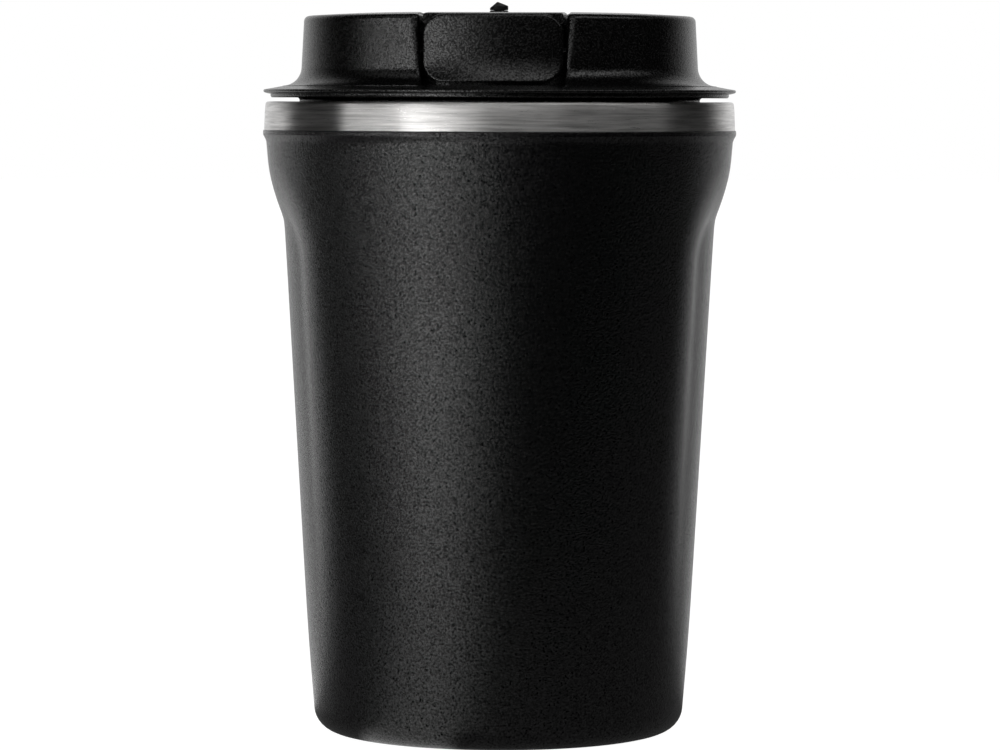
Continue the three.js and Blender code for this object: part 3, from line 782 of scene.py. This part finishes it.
def lid_shell():
    brim = revolved(outline([
        (NOTCH_RADIUS - 1.5, BRIM_UNDERSIDE),
        (BRIM_RADIUS - 1.1, BRIM_UNDERSIDE, 1.5),
        (BRIM_RADIUS + 0.04, BRIM_UNDERSIDE + 0.3, 0.35),
        (BRIM_RADIUS - 0.06, BRIM_UNDERSIDE + 0.8, 0.3),
        (BRIM_RADIUS - 1.1, BRIM_TOP - 0.53, 3),
        (BRIM_RADIUS - 4.1, BRIM_TOP + 0.01, 3),
        (NOTCH_RADIUS - 1.5, BRIM_TOP + 0.01),
    ]), 288)
    length, width = MOUTH_HALF
    floor = mesh_object("lid_deck", clocked(deck()))
    mouth_levels = [
        (slot_outline(length + 1.7, width + 1.7), BRIM_UNDERSIDE - 1),
        (slot_outline(length + 1.7, width + 1.7), CHANNEL_FLOOR - 1.9),
        (slot_outline(length, width), CHANNEL_FLOOR - 1.85),
        (slot_outline(length + 0.8, width + 0.8), CHANNEL_FLOOR - 0.35),
        (slot_outline(length + 0.95, width + 0.95), CHANNEL_FLOOR - 0.12),
        (slot_outline(length + 1.25, width + 1.25), CHANNEL_FLOOR + 0.02),
        (slot_outline(length + 1.3, width + 1.3), CHANNEL_FLOOR + 1),
    ]
    vent_outline = outline([
        (0, BRIM_UNDERSIDE - 1),
        (3.2, BRIM_UNDERSIDE - 1),
        (3.2, CHANNEL_FLOOR - 1.9),
        (1.6, CHANNEL_FLOOR - 1.85),
        (2.9, CHANNEL_FLOOR, 0.4),
        (4, CHANNEL_FLOOR + 0.02),
        (4, CHANNEL_FLOOR + 1),
        (0, CHANNEL_FLOOR + 1),
    ])
    carve(floor, [
        ("DIFFERENCE", clocked(moved(stacked(mouth_levels), y=MOUTH_Y))),
        ("DIFFERENCE", clocked(moved(revolved(vent_outline, 48), y=VENT_Y))),
    ])
    finished(floor, PLASTIC, "lid", "lid_plastic", "lid_shell", sharp=30)
    drum = mesh_object("lid_drum", clocked(barrel()))
    finished(drum, PLASTIC, "lid", "lid_plastic", "lid_shell", sharp=50)
    rim = mesh_object("lid_brim", clocked(brim))
    finished(rim, PLASTIC, "lid", "lid_plastic", "lid_shell", sharp=50)


def hinge_pin():
    points = outline([
        (0, -PIN_HALF),
        (PIN_RADIUS, -PIN_HALF, 0.3),
        (PIN_RADIUS, PIN_HALF, 0.3),
        (0, PIN_HALF),
    ])
    along_x = turned(revolved(points, 48), math.pi / 2, "Y")
    pin = mesh_object("cap_pin", clocked(moved(along_x, y=HINGE_Y, z=HINGE_Z)))
    finished(pin, PLATE, "lid", "plate_steel", "hinge_pin")


# ---------------------------------------------------------------- flip cap


def panel_radius(z):
    """Radius of the panel's face: the barrel's, flaring a little towards its foot."""
    flare = max(0, (126 - z) / 4.5)
    return BARREL_TOP_RADIUS + 0.15 + 0.9 * flare**2


def cap_panel():
    """Front panel: a bowed plate with a rounded-rectangle outline and rounded edges."""
    edge = 0.45

    def ring(inset, depth):
        corner = max(PANEL_CORNER - inset, 0)
        half = CAP_HALF - inset
        points = divided_rectangle(half, PANEL_BOTTOM + inset, PANEL_TOP - inset, corner)
        face = [panel_radius(z) for x, z in points]
        y = [-math.sqrt((r - depth) ** 2 - x**2) for (x, z), r in zip(points, face)]
        return np.column_stack((points[:, 0], y, points[:, 1]))

    middle = (PANEL_TOP - PANEL_BOTTOM) / 2
    rings = [ring(inset, PANEL_THICKNESS) for inset in (middle, 4, 2, 0.5)]
    rings.append(ring(0, PANEL_THICKNESS - 0.5))
    for angle in np.linspace(0, math.pi / 2, 7):
        rings.append(ring(edge * (1 - math.cos(angle)), edge * (1 - math.sin(angle))))
    rings += [ring(inset, 0) for inset in np.linspace(edge, middle, 14)[1:]]
    return grid_shell(rings)


def divided_rectangle(half, bottom, top, corner):
    """Rounded rectangle with the same number of points whatever its size."""
    def side(x0, y0, x1, y1, count):
        t = np.linspace(0, 1, count, endpoint=False)[1:]
        return np.column_stack((x0 + (x1 - x0) * t, y0 + (y1 - y0) * t))

    def arc(x, y, start):
        angles = np.linspace(start, start + math.pi / 2, 11)
        return np.column_stack((x + corner * np.cos(angles), y + corner * np.sin(angles)))

    left, right = -half + corner, half - corner
    down, up = bottom + corner, top - corner
    return np.concatenate((
        arc(right, down, -math.pi / 2),
        side(half, down, half, up, 10),
        arc(right, up, 0),
        side(right, top, left, top, 28),
        arc(left, up, math.pi / 2),
        side(-half, up, -half, down, 10),
        arc(left, down, math.pi),
        side(left, bottom, right, bottom, 28),
    ))


def cap_arm():
    underside = LID_TOP - CAP_PLATE
    section = outline([
        (-CAP_HALF, underside, 0.3),
        (CAP_HALF, underside, 0.3),
        (CAP_HALF, LID_TOP, 0.5),
        (-CAP_HALF, LID_TOP, 0.5),
    ])
    rings = []
    front = BARREL_TOP_RADIUS - PANEL_THICKNESS / 2
    for share in np.linspace(0, 1, 30):
        start = -np.sqrt(front**2 - section[:, 0] ** 2)
        y = start + (HINGE_Y - start) * share
        crown = ARM_CROWN * (1 - (y / front) ** 2) * (section[:, 1] > LID_TOP - 0.6)
        rings.append(np.column_stack((section[:, 0], y, section[:, 1] + crown)))
    plate = grid_shell(rings, capped=True)
    knuckle_points = outline([
        (0, -CAP_HALF),
        (LID_TOP + 0.55 - HINGE_Z, -CAP_HALF, 0.3),
        (LID_TOP + 0.55 - HINGE_Z, CAP_HALF, 0.3),
        (0, CAP_HALF),
    ])
    knuckle = moved(turned(revolved(knuckle_points, 64), math.pi / 2, "Y"), y=HINGE_Y, z=HINGE_Z)
    ribs = []
    for side in (-1, 1):
        rib = outline([
            (-0.75, underside - 2.4, 0.4),
            (0.75, underside - 2.4, 0.4),
            (0.75, underside + 1),
            (-0.75, underside + 1),
        ])
        rings = [np.column_stack((rib[:, 0], np.full(len(rib), y), rib[:, 1])) for y in (-32.5, 8)]
        ribs.append(moved(grid_shell(rings, capped=True), x=side * (CAP_HALF - 1.65)))
    return joined(plate, knuckle, *ribs)


def cap_bosses():
    """Under the arm the two plug bosses, on it the collar that the vent plug is pulled through."""
    middle = LID_TOP - CAP_PLATE / 2
    mouth = moved(stacked([(slot_outline(6, 2), 129), (slot_outline(6.2, 2.2), middle)]), y=MOUTH_Y)
    vent = revolved(outline([(0, 129.8), (3.2, 129.8, 0.3), (3.2, middle), (0, middle)]), 64)
    collar = revolved(outline([
        (0, middle),
        (3.2, middle),
        (2.75, LID_TOP - 0.02, 0.3),
        (2, LID_TOP + 0.25, 1.2),
        (1.68, LID_TOP + 1.05, 0.15),
        (0, LID_TOP + 1.05),
    ]), 64)
    return joined(mouth, moved(vent, y=VENT_Y), moved(collar, y=VENT_Y))


def flip_cap():
    panel = mesh_object("cap_panel", clocked(cap_panel()))
    finished(panel, PLASTIC, "flip", "lid_plastic", "flip_cap", sharp=60)
    arm = mesh_object("cap_arm", clocked(cap_arm()))
    finished(arm, PLASTIC, "flip", "lid_plastic", "flip_cap", sharp=40)
    bosses = mesh_object("cap_bosses", clocked(cap_bosses()))
    finished(bosses, PLASTIC, "flip", "lid_plastic", "flip_cap", sharp=40)


def mouth_plug():
    bottom = low("mouth_plug").z
    pad_bottom = CHANNEL_FLOOR + 0.3
    length, width = MOUTH_HALF[0] + 0.4, MOUTH_HALF[1] + 0.4

    def level(length, width, z):
        return slot_outline(length, width), z

    plug = stacked([
        level(length - 1.6, width - 1.6, bottom),
        level(length - 1.1, width - 1.1, bottom + 0.1),
        level(length - 0.85, width - 0.85, bottom + 0.5),
        level(length, width, pad_bottom),
        level(9.7, 4.9, pad_bottom),
        level(10, 5.2, pad_bottom + 0.3),
        level(10, 5.2, 129.9),
        level(9.7, 4.9, 130.2),
        level(6.4, 2.4, 130.2),
        level(6.3, 2.3, 128.7),
    ])
    seal = mesh_object("mouth_seal", clocked(moved(plug, y=MOUTH_Y)))
    finished(seal, SILICONE, "flip", "black_silicone", "mouth_plug")


def vent_plug():
    """Plug under the arm, stem, and the barbed tail that was cut off by hand above the collar."""
    bottom = low("vent_plug").z
    barb = LID_TOP + 1.12
    points = outline([
        (0, bottom),
        (1.2, bottom, 0.3),
        (2.4, CHANNEL_FLOOR + 0.3),
        (3.2, CHANNEL_FLOOR + 0.3, 0.3),
        (3.2, 129.5, 0.3),
        (1, 129.5, 0.2),
        (1, barb),
        (1.7, barb, 0.1),
        (1.7, TAIL_TOP, 1),
        (0, TAIL_TOP),
    ])
    vertices, faces = revolved(divided(points, 0.12), 72)
    for azimuth, slope, offset in TAIL_CUTS:
        turn = math.radians(azimuth)
        along = (vertices[:, 0] + 0.3) * math.cos(turn) + vertices[:, 1] * math.sin(turn)
        cut = np.maximum(TAIL_TOP - offset - slope * along, barb - 0.02)
        vertices[:, 2] = np.minimum(vertices[:, 2], cut)
    seal = mesh_object("vent_seal", clocked(moved((vertices, faces), y=VENT_Y)))
    finished(seal, SILICONE, "flip", "black_silicone", "vent_plug", sharp=45)


outer_wall()
inner_liner()
liner_base()
base_cover()
sealed_pieces()
lid_gasket()
lid_insert()
lid_shell()
hinge_pin()
flip_cap()
mouth_plug()
vent_plug()

# ---------------------------------------------------------------- stage, light and camera


FLOOR_FRONT = 0.15  # from the cup to the table's front edge, in metres
# The table's painted glow in each direction from the cup, emission that stands in for light thrown back off
# the table from the lamps and the backdrop: (share of a turn from the front, to the left first, glow).
# The values come from a least-squares fit of the lights to the photograph's brightness, then changed.
FLOOR_GLOW = [
    (0, 0.09),
    (0.035, 0.1),
    (0.055, 0.72),
    (0.13, 0.72),
    (0.15, 0.09),
    (0.22, 0.06),
    (0.33, 0.1),
    (0.355, 1),
    (0.385, 1),
    (0.4, 0.6),
    (0.6, 0.6),
    (0.63, 0.2),
    (0.66, 0.03),
    (1, 0.09),
]
STUDIO_DARK = 0.003
BACKDROP_LIGHT = 0.85
BACKDROP_START = 0.76  # 0.5 is straight to the side, 1 is straight behind the cup
BACKDROP_FULL = 0.98
LIGHT_AIM = Vector((0, 0, 0.1))
LIGHT_DISTANCE = 1.2


def area_light(name, azimuth, elevation, width, height, radiance):
    """Soft light on the cup. Angles in degrees: azimuth 0 is the camera's side, positive to its right."""
    turn, rise = math.radians(azimuth), math.radians(elevation)
    away = Vector((math.sin(turn), -math.cos(turn), math.tan(rise))) * LIGHT_DISTANCE
    data = bpy.data.lights.new(name, "AREA")
    data.shape = "RECTANGLE"
    data.size = 2 * away.length * math.tan(math.radians(width / 2))
    data.size_y = 2 * away.length * math.tan(math.radians(height / 2))
    data.energy = radiance * math.pi * data.size * data.size_y
    lamp = bpy.data.objects.new(name, data)
    lamp.visible_camera = False
    lamp.location = LIGHT_AIM + away
    lamp.rotation_euler = (-away).to_track_quat("-Z", "Y").to_euler()
    bpy.context.scene.collection.objects.link(lamp)


def white_to_camera(m, light):
    """The light given to the cup, or plain white where the camera looks straight at it."""
    path = m.add("LightPath")
    brighter = m.add("Math", operation="MAXIMUM")
    m.link(light, brighter.inputs[0])
    m.link(path.outputs["Is Camera Ray"], brighter.inputs[1])
    return brighter.outputs["Value"]


def floor():
    """A table top, plain white to the camera. To the cup it is dark, with a painted glow that differs by
    direction: emission that stands in for light thrown back off the table from the lamps and the backdrop.
    """
    mesh = bpy.data.meshes.new("floor")
    side, front, back = 4, -FLOOR_FRONT, 6
    corners = [(-side, front, 0), (side, front, 0), (side, back, 0), (-side, back, 0)]
    mesh.from_pydata(corners, [], [(0, 1, 2, 3)])
    plane = bpy.data.objects.new("floor", mesh)
    bpy.context.scene.collection.objects.link(plane)
    m = Nodes("table_top")
    place = m.add("SeparateXYZ")
    m.link(m.place(), place.inputs["Vector"])
    m.tint(m.noise(m.place(), 3, 2), (0.12, 0.12, 0.12), (0.14, 0.14, 0.14))
    direction = m.add("Math", operation="ARCTAN2")
    m.link(place.outputs["X"], direction.inputs[0])
    m.link(place.outputs["Y"], direction.inputs[1])
    ramp = m.add("ValToRGB")
    m.link(m.span(direction.outputs["Value"], 0, 1, -math.pi, math.pi), ramp.inputs["Fac"])
    stops = ramp.color_ramp.elements
    for position, glow in FLOOR_GLOW[1:-1]:
        stops.new(position)
    for stop, (position, glow) in zip(stops, FLOOR_GLOW):
        stop.color = (glow, glow, glow, 1)
    # Painted light: the table's glow by direction is emission, not lamp light reflected by the table.
    m.link(white_to_camera(m, ramp.outputs["Color"]), m.shader.inputs["Emission Strength"])
    m.set(Roughness=0.7, Emission_Color=(1, 1, 1, 1), Specular_IOR_Level=0.2)
    mesh.materials.append(m.material)


def surroundings():
    """Bright backdrop behind the cup, near black elsewhere; plain white where the camera sees it."""
    world = bpy.data.worlds.new("studio")
    bpy.context.scene.world = world
    world.use_nodes = True
    m = NodeTree(world.node_tree)
    background = m.tree.nodes["Background"]
    split = m.add("SeparateXYZ")
    m.link(m.add("TexCoord").outputs["Generated"], split.inputs["Vector"])
    ramp = m.add("ValToRGB")
    ramp.color_ramp.interpolation = "EASE"
    dark, bright = ramp.color_ramp.elements
    dark.position = BACKDROP_START
    dark.color = (STUDIO_DARK, STUDIO_DARK, STUDIO_DARK, 1)
    bright.position = BACKDROP_FULL
    bright.color = (BACKDROP_LIGHT, BACKDROP_LIGHT, BACKDROP_LIGHT, 1)
    m.link(m.span(split.outputs["Y"], 0, 1, -1, 1), ramp.inputs["Fac"])
    m.link(white_to_camera(m, ramp.outputs["Color"]), background.inputs["Strength"])
    background.inputs["Color"].default_value = (1, 1, 1, 1)


CAMERA_PLACE = (0.00006, -0.879, 0.1181)
CAMERA_LENS = 168.95
CAMERA_TILT = 3.35  # degrees down
CAMERA_ROLL = -0.13  # degrees


def camera():
    """Level with the cup's rim, looking slightly down, as a product photograph is taken."""
    data = bpy.data.cameras.new("camera")
    data.sensor_width = 36
    data.lens = CAMERA_LENS
    data.clip_start = 0.05
    data.clip_end = 30
    eye = bpy.data.objects.new("camera", data)
    eye.location = CAMERA_PLACE
    eye.rotation_euler = (math.radians(90 - CAMERA_TILT), math.radians(CAMERA_ROLL), 0)
    bpy.context.scene.collection.objects.link(eye)
    bpy.context.scene.camera = eye


floor()
surroundings()
area_light("key", azimuth=-36, elevation=-16, width=24, height=28, radiance=3.7)
area_light("low_left", azimuth=-19, elevation=-36, width=14, height=16, radiance=3)
area_light("upper", azimuth=-48, elevation=9, width=24, height=6, radiance=6)
area_light("side", azimuth=-70, elevation=8, width=22, height=5, radiance=5.5)
area_light("front_left", azimuth=-18, elevation=7, width=12, height=14, radiance=1)
area_light("front", azimuth=-4, elevation=20, width=66, height=14, radiance=0.5)
area_light("top", azimuth=36, elevation=42, width=100, height=20, radiance=1.2)
area_light("ceiling", azimuth=-10, elevation=66, width=110, height=22, radiance=0.45)
camera()
bpy.context.scene.view_settings.view_transform = "Standard"
